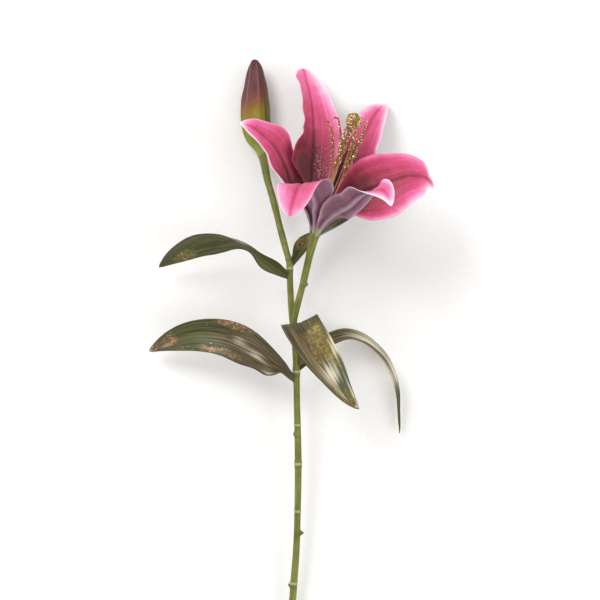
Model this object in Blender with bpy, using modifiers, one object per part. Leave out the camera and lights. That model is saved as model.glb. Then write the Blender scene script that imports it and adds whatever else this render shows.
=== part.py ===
# Cut lily: one open flower, one bud and five leaves on a slim forked stem, lying on a flat surface.
#
# Shapes are given in the growth frame, in millimetres: x to the right, y up along the stem,
# z towards the side that the open flower faces, origin at the fork of the stem.
# The whole stem is then laid on its back, z up, until it rests on the cut end, the bud and a tepal.

import bpy
import numpy as np
from math import radians
from mathutils import Euler, Vector

MM = 0.001
OBJECT_NAME = "cut_lily"

# Driving dimensions, in millimetres and degrees. The tepals and stamens stand in rings around the
# flower's axis, BASE_RISE above the receptacle; up to THROAT_RISE they widen THROAT_FLARE times, and over
# THROAT_SHARE of its length each tepal turns from a strip of its ring into a free blade.
BASE_RISE = 0.9
TEPAL_THICKNESS = 0.9
LEAF_THICKNESS = 0.9
STEM_RADIUS = 2.6
STALK_RADIUS = 2.4
RECEPTACLE_RADIUS = 4.2
BUD_FOOT_RADIUS = 3.4
BUD_RADIUS = 11.3
INNER_RING = 3.6
OUTER_RING = 5.0
STAMEN_RING = 2.1
THROAT_RISE = 14.0
THROAT_FLARE = 2.1
THROAT_SHARE = (0.10, 0.34)
REST_PITCH = 5.4
REST_ROLL = -0.2

FLOWER_BASE = np.array((15.3, 65.0, 13.0))
FLOWER_AXIS = np.array((0.271, 0.887, 0.375))
FLOWER_AXIS = FLOWER_AXIS / np.linalg.norm(FLOWER_AXIS)
FLOWER_RIGHT = np.cross(FLOWER_AXIS, (0.0, 0.0, 1.0))
FLOWER_RIGHT = FLOWER_RIGHT / np.linalg.norm(FLOWER_RIGHT)
FLOWER_BACK = np.cross(FLOWER_AXIS, FLOWER_RIGHT)

TEPAL_ROWS, TEPAL_COLUMNS = 21, 9
LEAF_ROWS, LEAF_COLUMNS = 17, 7

# Tepals: azimuth about the flower's axis, ring they start from, and the free spine above the throat
TEPALS = {
    "tepal_left": {
        "azimuth": 180,
        "ring": OUTER_RING,
        "spine": [
            (-1.5, 97.5, 19.5), (-6.5, 114, 17), (-14.5, 129.5, 17), (-25, 139.5, 20),
            (-34, 145.5, 23), (-41.5, 147.5, 23),
        ],
        "roll": (0, -5, -25, -48, -52, -46, -35),
        "half_width": (2, 5.5, 10, 13, 12, 9, 4),
        "bias": (0, 0.4, 0.2, 0.05, 0, 0),
        "cup": (60, 50, 40, 30, 25, 20, 10),
        "keel": (0, 5, 12, 14, 12, 8, 0),
        "tip": 0.12,
    },
    "tepal_back": {
        "azimuth": 120,
        "ring": INNER_RING,
        "spine": [
            (13.5, 100.5, 7.5), (14, 125, -2), (14.5, 150, -13), (12.5, 170.5, -22),
            (8, 185.5, -30), (4, 194, -38.5), (2.5, 191.5, -45),
        ],
        "roll": (0, 0, 0, 0, 0, 0, 0),
        "half_width": (2, 7, 14.5, 20.5, 17.5, 13.5, 9, 5),
        "bias": (0, -0.45, -0.2, 0.1, -0.25, -0.2, -0.1, 0),
        "cup": (60, 50, 45, 40, 35, 30, 20, 10),
        "keel": (0, 5, 10, 12, 10, 8, 0),
        "tip": 0.15,
    },
    "tepal_back_right": {
        "azimuth": 60,
        "ring": OUTER_RING,
        "spine": [
            (33.5, 103.5, -16), (43, 122, -23), (52, 139.5, -28), (61, 155.5, -34),
            (67.5, 166.5, -42), (70, 171, -47),
        ],
        "roll": (0, 0, 0, 0, 0, 0),
        "half_width": (2, 7, 14, 19, 19, 15, 10, 5),
        "bias": (0, -0.05, -0.2, -0.3, -0.28, -0.15, 0),
        "cup": (60, 50, 40, 30, 25, 20, 10),
        "keel": (0, 5, 10, 12, 10, 8, 0),
        "tip": 0.12,
    },
    "tepal_right": {
        "azimuth": 0,
        "ring": INNER_RING,
        "spine": [
            (41, 88, 20), (56.5, 97, 26), (73, 104, 30), (88, 108.5, 31),
            (98, 107, 29), (105, 97.5, 24),
        ],
        "roll": (0, 25, 50, 62, 62, 55, 50),
        "half_width": (2, 6.5, 18.5, 25.5, 21.5, 12, 3),
        "bias": (0, 0, -0.08, -0.1, -0.06, 0, 0),
        "cup": (60, 50, 35, 25, 20, 15, 10),
        "keel": (0, 5, 8, 8, 6, 5, 0),
        "tip": 0.08,
    },
    "tepal_front_left": {
        "azimuth": 240,
        "ring": INNER_RING,
        "spine": [
            (15, 85, 44), (11, 94.5, 60), (6, 98, 74), (2.5, 95, 86),
            (-1, 85, 94), (-3.5, 73.5, 99),
        ],
        "roll": (0, 10, 25, 35, 35, 25, 10),
        "half_width": (2, 6.5, 14.5, 20.5, 19, 13, 9),
        "bias": (0, -0.05, -0.2, -0.12, 0, 0, 0),
        "cup": (60, 50, 30, 5, 5, 15, 20),
        "keel": (0, 5, 8, 4, 4, 5, 0),
        "tip": 0.25,
    },
    "tepal_front_right": {
        "azimuth": 300,
        "ring": OUTER_RING,
        "spine": [
            (33.5, 79.5, 53.5), (41, 83, 66.5), (47.5, 89, 71), (55, 92, 80),
            (63.5, 92.5, 88), (69, 81, 93),
        ],
        "roll": (0, -3, -20, -45, -45, 0, 50, 60),
        "half_width": (2, 6.5, 10.4, 12.2, 12.7, 12, 9, 4),
        "bias": (0, 0, -0.06, -0.1, -0.06, 0, 0),
        "cup": (60, 25, 8, 15, 20, 20, 20),
        "keel": (0, 0, 3, 8, 6, 5, 0),
        "tip": 0.15,
    },
}

# Leaves: the outward side is the underside
LEAVES = {
    "leaf_lower_left": {
        "spine": [
            (-2.5, -47, 1), (-8.5, -40, 4), (-17.5, -33, 6), (-34.5, -23, 8),
            (-53.5, -15, 7), (-73, -13, 3), (-93, -17, -5), (-113.5, -26, -14),
        ],
        "outward": (0, 0, -1),
        "roll": (0, 0, 0, 0, 0, 0),
        "half_width": (1.5, 8, 14, 14, 12, 8, 1),
        "cup": (30, 25, 20, 20, 20, 15),
        "keel": (20, 15, 10, 8, 8, 5),
        "tip": 0.03,
    },
    "leaf_upper_left": {
        "spine": [
            (-7.5, 33, 0), (-14, 38.5, 3), (-22, 44.5, 6), (-34.5, 54.5, 8),
            (-50, 60.5, 7), (-69, 59.5, 2), (-89, 51, -7), (-106, 39.5, -17),
        ],
        "outward": (0, 0, -1),
        "roll": (0, -50, -75, -60, -50, -50, -50),
        "half_width": (1.5, 6, 6, 11.5, 13.5, 11, 7, 1),
        "cup": (30, 25, 20, 20, 20, 15),
        "keel": (20, 15, 10, 8, 8, 5),
        "tip": 0.03,
    },
    "leaf_upper_right": {
        "spine": [
            (-0.5, 43, -2), (2.5, 49.5, -6), (7.5, 56.5, -10), (19.5, 65, -14),
            (33.5, 72.5, -18), (44.5, 79.5, -22), (54, 87, -25),
        ],
        "outward": (0, 0, -1),
        "roll": (0, -20, -50, -60, -55, -55, -45),
        "half_width": (1.5, 6, 8, 9, 8, 6, 1),
        "cup": (30, 25, 20, 20, 20, 15),
        "keel": (20, 15, 10, 8, 8, 5),
        "tip": 0.03,
    },
    "leaf_front": {
        "spine": [
            (5, -35.5, 2), (8.5, -26, 9), (9, -15, 20), (6, -7, 33),
            (4, -3, 45), (7.5, -8, 56), (15.5, -20, 61), (25, -36, 61),
            (35.5, -53, 55), (47.5, -67, 46),
        ],
        "outward": (0, -0.3, 1),
        "roll": (0, 5, 15, 20, 20, 10, 0, 0),
        "half_width": (1.5, 6, 12, 14, 14.5, 14.5, 12, 7.5, 1),
        "bias": (0, 0, 0, 0, -0.08, -0.14, -0.1, -0.05, 0),
        "cup": (30, 25, 10, 10, 20, 15),
        "keel": (20, 15, 5, 8, 8, 5),
        "tip": 0.03,
    },
    "leaf_lower_right": {
        "spine": [
            (5, -38.5, -3), (12.5, -29.5, -5), (21, -22.5, -8), (30.5, -18, -11),
            (41, -15.5, -13), (52, -18, -15), (61.5, -24.5, -16), (69.5, -33, -17),
            (75.5, -44.5, -17.5), (79.5, -58, -17.5), (81, -73.5, -17.5), (81.5, -90, -18),
        ],
        "outward": (0, 0, -1),
        "roll": (0, -30, -50, -60, -60, -60, -70, -80),
        "half_width": (1.5, 6, 9, 10, 9, 7, 4, 1),
        "cup": (30, 25, 20, 20, 20, 15),
        "keel": (20, 15, 10, 8, 8, 5),
        "tip": 0.03,
    },
}

STEMS = {
    "main_stem": {
        "route": [
            (-4, 41.5, -1), (-3.5, 21.5, -1), (-2, 0, 0), (0, -17, 0),
            (1, -36, 0), (1.5, -63, 0), (2.5, -112.5, 0), (2, -148.5, 0),
            (1, -178.5, 0), (-1, -205.5, 0), (-4.5, -255.5, 0), (-7.5, -302, 0),
        ],
        "radii": (STEM_RADIUS, STEM_RADIUS, STEM_RADIUS),
        "points": 26,
    },
    "bud_stalk": {
        "route": [
            (-4.5, 43, -1), (-7, 52.5, -4), (-11.5, 69.5, -10), (-17, 92, -17.5),
            (-21.5, 108, -23.5), (-24, 120, -28), (-26.5, 129.5, -31),
        ],
        "radii": (STEM_RADIUS, STEM_RADIUS, 2.7, 2.8, 3.0, BUD_FOOT_RADIUS),
        "points": 12,
    },
    "flower_stalk": {
        "route": [
            (-1, -2, 5.5), (1.5, 8.5, 6), (6, 25.5, 5.5), (9.5, 40.5, 6),
            (12.5, 53.5, 8.5), (15.5, 65, 13),
        ],
        "radii": (STALK_RADIUS, 2.5, 2.6, 2.8, 3.0, RECEPTACLE_RADIUS),
        "points": 12,
    },
}

BUD = {
    "route": [
        (-27, 130.5, -31), (-29, 138, -33), (-30.5, 148, -34), (-31.5, 160, -34.5),
        (-31.5, 188, -35), (-32, 203.5, -35.5),
    ],
    "radii": (BUD_FOOT_RADIUS, 6.2, 9.6, 11.2, BUD_RADIUS, 10.5, 9.1, 7.2, 5, 1.2),
}

PISTIL = {
    "route": [
        (26.5, 97, 21.5), (32.5, 116, 22), (38.5, 133, 26), (43, 147.5, 31),
    ],
    "radii": (0.9, 1, 1.3, 1.5, 1.6, 1.6, 2.4, 3.6, 2),
}

STAMEN_RADII = (0.55, 0.6, 0.6, 0.6, 0.7, 1.2, 1.4, 0.7)
STAMENS = {
    "stamen_left": {
        "azimuth": 170,
        "route": [
            (23.5, 99, 14), (27.5, 117, 11), (29, 132.5, 9), (27.5, 145.5, 7),
            (25.5, 151, 6),
        ],
    },
    "stamen_back_left": {
        "azimuth": 115,
        "route": [
            (26.5, 100, 15), (31.5, 117, 13), (34.5, 132.5, 8), (34.5, 146, 4),
            (32.5, 154.5, 2),
        ],
    },
    "stamen_back_right": {
        "azimuth": 55,
        "route": [
            (30.5, 99.5, 11), (37.5, 116.5, 9), (43.5, 132.5, 8), (47.5, 145.5, 8),
            (49.5, 154, 9),
        ],
    },
    "stamen_right": {
        "azimuth": 0,
        "route": [
            (31.5, 96, 25), (40.5, 113, 30), (47.5, 129.5, 33), (52, 140.5, 35),
            (54, 147.5, 37),
        ],
    },
    "stamen_front_right": {
        "azimuth": 300,
        "route": [
            (30.5, 94.5, 26), (37.5, 111.5, 33), (42.5, 126, 39), (45.5, 135, 43),
            (46, 140, 45),
        ],
    },
    "stamen_front_left": {
        "azimuth": 235,
        "route": [
            (24, 96, 29), (30, 113, 32), (34.5, 126, 38), (36.5, 135.5, 42),
            (38, 142, 44),
        ],
    },
}


def hermite(knots, points, t):
    """A smooth curve through the points, one at each knot, read at the parameters t."""
    steps = np.diff(knots)[:, None]
    slopes = np.diff(points, axis=0) / steps
    tangents = np.empty_like(points)
    tangents[1:-1] = (slopes[:-1] * steps[1:] + slopes[1:] * steps[:-1]) / (steps[1:] + steps[:-1])
    tangents[0] = 2 * slopes[0] - tangents[1]
    tangents[-1] = 2 * slopes[-1] - tangents[-2]
    i = np.clip(np.searchsorted(knots, t, side="right") - 1, 0, len(knots) - 2)
    h = steps[i]
    s = ((t - knots[i]) / h[:, 0])[:, None]
    return (
        (1 + 2 * s) * (1 - s) ** 2 * points[i]
        + s * (1 - s) ** 2 * h * tangents[i]
        + s * s * (3 - 2 * s) * points[i + 1]
        + s * s * (s - 1) * h * tangents[i + 1]
    )


def along_path(points, t):
    """Read a route at shares t of its length."""
    points = np.array(points, float)
    lengths = np.linalg.norm(np.diff(points, axis=0), axis=1)
    knots = np.concatenate(([0.0], np.cumsum(lengths))) / lengths.sum()
    return hermite(knots, points, t)


def along_values(values, t):
    """Read values given at even steps."""
    return hermite(np.linspace(0, 1, len(values)), np.array(values, float)[:, None], t)[:, 0]


def smoothstep(low, high, t):
    s = np.clip((t - low) / (high - low), 0, 1)
    return s * s * (3 - 2 * s)


def carried_normals(path, first):
    """Tangents, and a normal carried along the path without turning about it."""
    tangents = np.gradient(path, axis=0)
    tangents /= np.linalg.norm(tangents, axis=1)[:, None]
    normals = np.empty_like(path)
    normal = np.array(first, float)
    for row, tangent in enumerate(tangents):
        normal = normal - normal.dot(tangent) * tangent
        normal /= np.linalg.norm(normal)
        normals[row] = normal
    return tangents, normals


def around_axis(azimuth, radius, rise):
    """A point beside the flower's axis; azimuth 0 is the flower's right, 90 its back."""
    turn = np.radians(azimuth)
    side = np.multiply.outer(np.cos(turn), FLOWER_RIGHT) + np.multiply.outer(np.sin(turn), FLOWER_BACK)
    return FLOWER_BASE + FLOWER_AXIS * np.asarray(rise)[..., None] + side * np.asarray(radius)[..., None]


def blade_grid(shape, spine, outward, rows, columns):
    """Rows of points across a leaf or tepal; half_width is flat, cup and keel bend it inwards."""
    t = np.sin(np.linspace(0, np.pi / 2, rows))
    path = along_path(spine, t)
    tangents, normals = carried_normals(path, outward)
    across = np.cross(tangents, normals)
    roll = np.radians(along_values(shape["roll"], t))[:, None]
    outer = normals * np.cos(roll) + across * np.sin(roll)
    across = np.cross(tangents, outer)
    tip = np.clip((t - 1 + shape["tip"]) / shape["tip"], 0, 1)
    width = along_values(shape["half_width"], t) * np.sqrt(np.clip(1 - tip**2, 0, 1))
    width = np.maximum(width, 0.35)[:, None]
    cup = np.radians(along_values(shape["cup"], t))[:, None]
    keel = np.radians(along_values(shape["keel"], t))[:, None]
    u = np.linspace(-1, 1, columns)[None, :]
    bias = along_values(shape.get("bias", (0, 0, 0)), t)[:, None]
    reach = width * (1 + np.sign(u) * bias)
    sideways = reach * np.sin(u * cup) / cup
    inwards = reach * (1 - np.cos(u * cup)) / cup + width * np.abs(u) * np.tan(keel)
    grid = path[:, None] + across[:, None] * sideways[..., None] - outer[:, None] * inwards[..., None]
    return grid, t


def tepal_grid(tepal, rows, columns):
    """A tepal leaves the receptacle as a strip of a ring, and turns into a free blade above it."""
    azimuth, ring = tepal["azimuth"], tepal["ring"]
    throat = [around_axis(azimuth, ring, BASE_RISE), around_axis(azimuth, ring * THROAT_FLARE, THROAT_RISE)]
    outward = around_axis(azimuth, 1.0, 0.0) - FLOWER_BASE
    grid, t = blade_grid(tepal, throat + list(tepal["spine"]), outward, rows, columns)
    centre = grid[:, columns // 2] - FLOWER_BASE
    rise = centre @ FLOWER_AXIS
    radius = np.linalg.norm(centre - rise[:, None] * FLOWER_AXIS, axis=1)
    u = np.linspace(-1, 1, columns)[None, :]
    half_width = along_values(tepal["half_width"], t)
    angles = azimuth + np.degrees(u * (half_width / radius)[:, None])
    strip = around_axis(angles, np.broadcast_to(radius[:, None], angles.shape), rise[:, None] + 0 * angles)
    free = smoothstep(*THROAT_SHARE, t)[:, None, None]
    return strip * (1 - free) + grid * free


def material(name, colour, roughness, metallic=0.0):
    made = bpy.data.materials.new(name)
    made.use_nodes = True
    shader = made.node_tree.nodes["Principled BSDF"]
    shader.inputs["Base Color"].default_value = (*colour, 1.0)
    shader.inputs["Roughness"].default_value = roughness
    shader.inputs["Metallic"].default_value = metallic
    return made


def place(name, data, finish, laid, parts):
    """Put a piece in the parts collection, on the empty that lays the stem down."""
    data.materials.append(finish)
    piece = bpy.data.objects.new(name, data)
    piece.parent = laid
    parts.objects.link(piece)
    return piece


def sheet(name, grid, thickness, finish, laid, parts):
    """A leaf or tepal: its grid of points as a surface, with an even wall."""
    rows, columns = grid.shape[:2]
    corners = [(r * columns + c) for r in range(rows - 1) for c in range(columns - 1)]
    faces = [(i, i + 1, i + columns + 1, i + columns) for i in corners]
    mesh = bpy.data.meshes.new(name)
    mesh.from_pydata((grid.reshape(-1, 3) * MM).tolist(), [], faces)
    mesh.shade_smooth()
    piece = place(name, mesh, finish, laid, parts)
    wall = piece.modifiers.new("wall", "SOLIDIFY")
    wall.thickness = thickness * MM
    wall.offset = 0.0
    return piece


def rod(name, route, radii, count, sides, finish, laid, parts):
    """A stem, stamen or bud: a round rod along a smooth route, with its radius given at even steps."""
    t = np.linspace(0, 1, count)
    curve = bpy.data.curves.new(name, "CURVE")
    curve.dimensions = "3D"
    curve.bevel_depth = MM
    curve.bevel_resolution = (sides - 4) // 2
    curve.use_fill_caps = True
    spline = curve.splines.new("POLY")
    spline.points.add(count - 1)
    radius = np.maximum(along_values(radii, t), 0.3)
    for point, place_mm, size in zip(spline.points, along_path(route, t), radius):
        point.co = (*(place_mm * MM), 1.0)
        point.radius = size
    return place(name, curve, finish, laid, parts)


def build():
    for old in list(bpy.data.objects):
        bpy.data.objects.remove(old)
    parts = bpy.data.collections.new(OBJECT_NAME)
    bpy.context.scene.collection.children.link(parts)
    laid = bpy.data.objects.new("laid_down", None)
    laid.rotation_euler = Euler((radians(REST_PITCH), radians(REST_ROLL), 0.0))
    parts.objects.link(laid)

    finishes = {
        "tepal": material("tepal_pink", (0.74, 0.12, 0.24), 0.45),
        "leaf": material("leaf_green", (0.06, 0.09, 0.025), 0.45),
        "stem": material("stem_olive", (0.22, 0.24, 0.05), 0.5),
        "bud": material("bud_plum", (0.21, 0.07, 0.06), 0.5),
        "stamen": material("stamen_gold", (0.42, 0.24, 0.07), 0.4, 0.5),
    }
    for name, tepal in TEPALS.items():
        grid = tepal_grid(tepal, TEPAL_ROWS, TEPAL_COLUMNS)
        sheet(name, grid, TEPAL_THICKNESS, finishes["tepal"], laid, parts)
    for name, leaf in LEAVES.items():
        grid, _ = blade_grid(leaf, leaf["spine"], leaf["outward"], LEAF_ROWS, LEAF_COLUMNS)
        sheet(name, grid, LEAF_THICKNESS, finishes["leaf"], laid, parts)
    for name, stem in STEMS.items():
        rod(name, stem["route"], stem["radii"], stem["points"], 12, finishes["stem"], laid, parts)
    rod("bud", BUD["route"], BUD["radii"], 20, 12, finishes["bud"], laid, parts)
    pistil_foot = [around_axis(0, 0, BASE_RISE), around_axis(0, 0, THROAT_RISE)]
    rod("pistil", pistil_foot + PISTIL["route"], PISTIL["radii"], 20, 10, finishes["stamen"], laid, parts)
    for name, stamen in STAMENS.items():
        start = [
            around_axis(stamen["azimuth"], STAMEN_RING, BASE_RISE),
            around_axis(stamen["azimuth"], STAMEN_RING + 0.8, THROAT_RISE),
        ]
        rod(name, start + list(stamen["route"]), STAMEN_RADII, 18, 8, finishes["stamen"], laid, parts)
    rest_on_floor(laid, parts)


def rest_on_floor(laid, parts):
    """Move the laid stem so that its lowest point is at z 0 and its box is centred on the origin."""
    bpy.context.view_layer.update()
    graph = bpy.context.evaluated_depsgraph_get()
    corners = []
    for piece in parts.objects:
        if piece.type == "EMPTY":
            continue
        shape = piece.evaluated_get(graph)
        mesh = shape.to_mesh()
        corners += [shape.matrix_world @ vertex.co for vertex in mesh.vertices]
        shape.to_mesh_clear()
    corners = np.array(corners)
    low, high = corners.min(axis=0), corners.max(axis=0)
    middle = (low + high) / 2
    laid.location = Vector((-middle[0], -middle[1], -low[2]))


build()
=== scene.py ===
from functools import partial
from math import pi, radians

import bmesh
import bpy
import numpy as np
from mathutils import Euler, Matrix, Vector


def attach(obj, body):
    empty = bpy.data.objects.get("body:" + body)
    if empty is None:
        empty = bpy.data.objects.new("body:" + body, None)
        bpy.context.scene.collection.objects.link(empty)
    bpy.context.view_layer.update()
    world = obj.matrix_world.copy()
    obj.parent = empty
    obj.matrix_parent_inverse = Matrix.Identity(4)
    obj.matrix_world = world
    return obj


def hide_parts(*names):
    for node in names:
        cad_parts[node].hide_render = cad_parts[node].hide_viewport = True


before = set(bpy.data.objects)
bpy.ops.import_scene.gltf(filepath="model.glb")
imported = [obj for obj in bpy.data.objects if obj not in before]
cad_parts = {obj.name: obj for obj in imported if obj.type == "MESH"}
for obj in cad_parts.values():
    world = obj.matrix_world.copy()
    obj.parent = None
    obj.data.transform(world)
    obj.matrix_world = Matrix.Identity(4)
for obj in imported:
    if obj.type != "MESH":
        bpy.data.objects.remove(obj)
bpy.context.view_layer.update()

mm = 0.001
body = "root"
print("cut lily: frame loaded,", len(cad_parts), "nodes")

# The lily is drawn as it grew, in mm: x right, y up the stem, z to the side that the flower faces,
# zero at the fork. Then it is laid on its back and moved to where the frame has it.
lying = {
    "pitch": 5.4,
    "roll": -0.2,
    "shift": (3.865, 47.465, 31.035),
}
layTurn = np.array(Euler((radians(lying["pitch"]), radians(lying["roll"]), 0)).to_matrix())


def laid(points):
    return (np.asarray(points, float) @ layTurn.T + np.array(lying["shift"])) * mm


def hexColour(code):  # sRGB hex to linear
    parts = [int(code[i:i + 2], 16) / 255 for i in (1, 3, 5)]
    return tuple(c / 12.92 if c <= 0.04045 else ((c + 0.055) / 1.055) ** 2.4 for c in parts) + (1.0,)


def setInputs(node, inputs):  # a socket is linked, anything else is a value
    for key, value in inputs.items():
        if isinstance(value, bpy.types.Node):  # a node stands for its first live output
            value = next(socket for socket in value.outputs if socket.enabled)
        if isinstance(value, bpy.types.NodeSocket):
            node.id_data.links.new(value, node.inputs[key])
        else:
            node.inputs[key].default_value = value


def addNode(tree, kind, inputs={}, stops=(), **settings):
    node = tree.nodes.new(kind)
    for key, value in settings.items():
        setattr(node, key, value)
    setInputs(node, inputs)
    if stops:
        elements = node.color_ramp.elements
        elements.remove(elements[-1])
        elements[0].position, elements[0].color = stops[0][0], hexColour(stops[0][1])
        for place, code in stops[1:]:
            elements.new(place).color = hexColour(code)
    return node


def startMaterial(name, allOver, *attributes):
    # allOver: the shader's values that are the same all over; attributes: the mesh's own values to read
    made = bpy.data.materials.new(name)
    made.use_nodes = True
    shader = made.node_tree.nodes["Principled BSDF"]
    setInputs(shader, allOver)
    add = partial(addNode, made.node_tree)
    read = [add("ShaderNodeAttribute", attribute_name=key).outputs["Fac"] for key in attributes]
    return made, add, shader, add("ShaderNodeTexCoord").outputs, *read


def veinsAndClouds(add, place, stretch, cloudSize, details):
    # noise drawn out along the piece's own UV, and clouds of cloudSize mm
    along = add("ShaderNodeMapping", {"Vector": place["UV"], "Scale": (*stretch, 1)})
    veins = add("ShaderNodeTexNoise", {"Vector": along, "Scale": 1.0, "Detail": details[0]})
    clouds = add("ShaderNodeTexNoise", {"Vector": place["Object"], "Scale": 1 / (cloudSize * mm),
                                        "Detail": details[1]})
    return veins, clouds


def mottle(add, veins, clouds, swings):  # both noises swing to either side of zero, and are added
    a, b = (add("ShaderNodeMath", {0: noise, 1: swing, 2: -swing / 2}, operation="MULTIPLY_ADD")
            for noise, swing in zip((veins, clouds), swings))
    return add("ShaderNodeMath", {0: a, 1: b}, operation="ADD")


def newObject(name, data):
    made = bpy.data.objects.new(name, data)
    bpy.context.scene.collection.objects.link(made)
    return made


# Smooth curves

def smoothThrough(knots, points, t):
    steps = np.diff(knots)[:, None]
    slopes = np.diff(points, axis=0) / steps
    tangents = np.empty_like(points)
    tangents[1:-1] = (slopes[:-1] * steps[1:] + slopes[1:] * steps[:-1]) / (steps[1:] + steps[:-1])
    tangents[0] = 2 * slopes[0] - tangents[1]
    tangents[-1] = 2 * slopes[-1] - tangents[-2]
    i = np.clip(np.searchsorted(knots, t, side="right") - 1, 0, len(knots) - 2)
    h = steps[i]
    s = ((t - knots[i]) / h[:, 0])[:, None]
    return ((1 + 2 * s) * (1 - s) ** 2 * points[i] + s * (1 - s) ** 2 * h * tangents[i]
            + s * s * (3 - 2 * s) * points[i + 1] + s * s * (s - 1) * h * tangents[i + 1])


def stepLengths(points):
    return np.linalg.norm(np.diff(np.array(points, float), axis=0), axis=1)


def alongPath(points, t):  # a route read at shares of its length
    lengths = stepLengths(points)
    knots = np.concatenate(([0.0], np.cumsum(lengths))) / lengths.sum()
    return smoothThrough(knots, np.array(points, float), t)


def alongValues(values, t):  # values given at even steps
    return smoothThrough(np.linspace(0, 1, len(values)), np.array(values, float)[:, None], t)[:, 0]


def smoothStep(low, high, t):
    s = np.clip((t - low) / (high - low), 0, 1)
    return s * s * (3 - 2 * s)


def band(a, b, c, d, t):  # up from a to b and down from c to d
    return smoothStep(a, b, t) * (1 - smoothStep(c, d, t))


def bell(distance, width):
    return np.exp(-(distance / width) ** 2)


def carriedNormals(path, first):
    tangents = np.gradient(path, axis=0)
    tangents /= np.linalg.norm(tangents, axis=1)[:, None]
    normals = np.empty_like(path)
    normal = np.array(first, float)
    for row, tangent in enumerate(tangents):
        normal = normal - normal.dot(tangent) * tangent
        normal /= np.linalg.norm(normal)
        normals[row] = normal
    return tangents, normals


# Meshes

def makePiece(name, points, faces, materials, faceMaterials=None, values={}, uv=None, turnOut=False):
    mesh = bpy.data.meshes.new(name)
    mesh.from_pydata(laid(points).tolist(), [], faces)
    for material in materials:
        mesh.materials.append(material)
    if faceMaterials is not None:
        mesh.polygons.foreach_set("material_index", faceMaterials)
    for key, numbers in values.items():
        made = mesh.attributes.new(key, "FLOAT", "POINT")
        made.data.foreach_set("value", np.ravel(numbers).astype(np.float32))
    if uv is not None:
        corners = np.empty(len(mesh.loops), dtype=np.int32)
        mesh.loops.foreach_get("vertex_index", corners)
        mesh.uv_layers.new(name="along").data.foreach_set("uv", uv[corners].ravel().astype(np.float32))
    if turnOut:
        work = bmesh.new()
        work.from_mesh(mesh)
        bmesh.ops.recalc_face_normals(work, faces=work.faces)
        work.to_mesh(mesh)
        work.free()
    mesh.shade_smooth()
    return newObject(name, mesh)


def gridFaces(rows, columns, start=0, flip=False):
    first = start + (np.arange(rows - 1)[:, None] * columns + np.arange(columns - 1)[None, :]).ravel()
    quads = np.stack([first, first + columns, first + columns + 1, first + 1], axis=1)
    return (quads[:, ::-1] if flip else quads).tolist()


def surfaceNormal(grid):
    normal = np.cross(np.gradient(grid, axis=0), np.gradient(grid, axis=1))
    return normal / np.maximum(np.linalg.norm(normal, axis=2), 1e-9)[..., None]


def nudged(grid, t, u, nudges):  # a nudge: share along, u, the reach of both, and a shift in mm
    for place, side, length, breadth, shift in nudges:
        grid = grid + (bell(t - place, length) * bell(u - side, breadth))[..., None] * np.array(shift, float)
    return grid


def closedSheet(name, middle, inside, outside, materials, values, t, u, start=0):
    # two skins over one grid, inside along the grid's own normal, joined round the rim;
    # start moves the pattern on, so that no two leaves are alike
    rows, columns = middle.shape[:2]
    normal = surfaceNormal(middle)
    points = np.concatenate([(middle + normal * inside[..., None]).reshape(-1, 3),
                             (middle - normal * outside[..., None]).reshape(-1, 3)])
    skin = rows * columns
    faces = gridFaces(rows, columns) + gridFaces(rows, columns, skin, flip=True)
    rim = ([r * columns for r in range(rows - 1)]
           + [(rows - 1) * columns + c for c in range(columns - 1)]
           + [r * columns + columns - 1 for r in range(rows - 1, 0, -1)]
           + list(range(columns - 1, 0, -1)))
    for a, b in zip(rim, rim[1:] + rim[:1]):
        faces.append((b, a, a + skin, b + skin))
    half = (rows - 1) * (columns - 1)
    faceMaterials = [0] * half + [1] * half + [0] * len(rim)
    both = {key: np.concatenate([np.ravel(numbers)] * 2) for key, numbers in values.items()}
    across, along = np.broadcast_arrays((u + 1) / 2 + start, t)
    uv = np.stack([across.ravel(), along.ravel()], axis=1)
    return makePiece(name, points, faces, materials, faceMaterials, both, np.concatenate([uv, uv]))


def ringsAlong(route, radii, t, angle, swell):
    # swell(t, angle, mm along) adds to the radius; angle 0 is the right, 90 degrees the front
    path = alongPath(route, t)
    tangents, fronts = carriedNormals(path, (0, 0, 1))
    rights = np.cross(tangents, fronts)
    reached = t[:, None] * stepLengths(path).sum()
    radius = alongValues(radii, t)[:, None] + swell(t[:, None], angle, reached)
    points = (path[:, None] + rights[:, None] * (radius * np.cos(angle))[..., None]
              + fronts[:, None] * (radius * np.sin(angle))[..., None])
    return points, path, tangents, radius, reached


def tube(name, route, form, skin, swell, values={}):
    # form: radii, rings, sides and cap, how round the ends are, from 0 for flat; where there is a slant, the
    # first end runs that many mm along for each mm across, easing off over slantReach mm
    rings, sides, cap = form["rings"], form["sides"], form["cap"]
    t = np.linspace(0, 1, rings)
    angle = np.linspace(0, 2 * pi, sides, endpoint=False)[None, :]
    points, path, tangents, radius, reached = ringsAlong(route, form["radii"], t, angle, swell)
    if "slant" in form:
        leaning = form["slant"] * radius * np.cos(angle) * (1 - smoothStep(0, form["slantReach"], reached))
        points = points + tangents[:, None] * leaning[..., None]
    ends = np.array([path[0] - tangents[0] * radius[0].mean() * cap,
                     path[-1] + tangents[-1] * radius[-1].mean() * cap])
    faces = []
    for start in range(0, (rings - 1) * sides, sides):
        for c in range(sides):
            n = (c + 1) % sides
            faces.append((start + c, start + n, start + sides + n, start + sides + c))
    foot, head = rings * sides, rings * sides + 1
    for c in range(sides):
        n = (c + 1) % sides
        faces.append((foot, n, c))
        faces.append((head, (rings - 1) * sides + c, (rings - 1) * sides + n))
    share = np.concatenate([np.repeat(t, sides), [0, 1]])
    turn = np.concatenate([np.tile(angle.ravel() / (2 * pi), rings), [0, 0]])
    allValues = {key: function(share, turn * 2 * pi) for key, function in values.items()}
    return makePiece(name, np.concatenate([points.reshape(-1, 3), ends]), faces, [skin],
                     values=allValues, uv=np.stack([turn, share], axis=1), turnOut=True)


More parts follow.
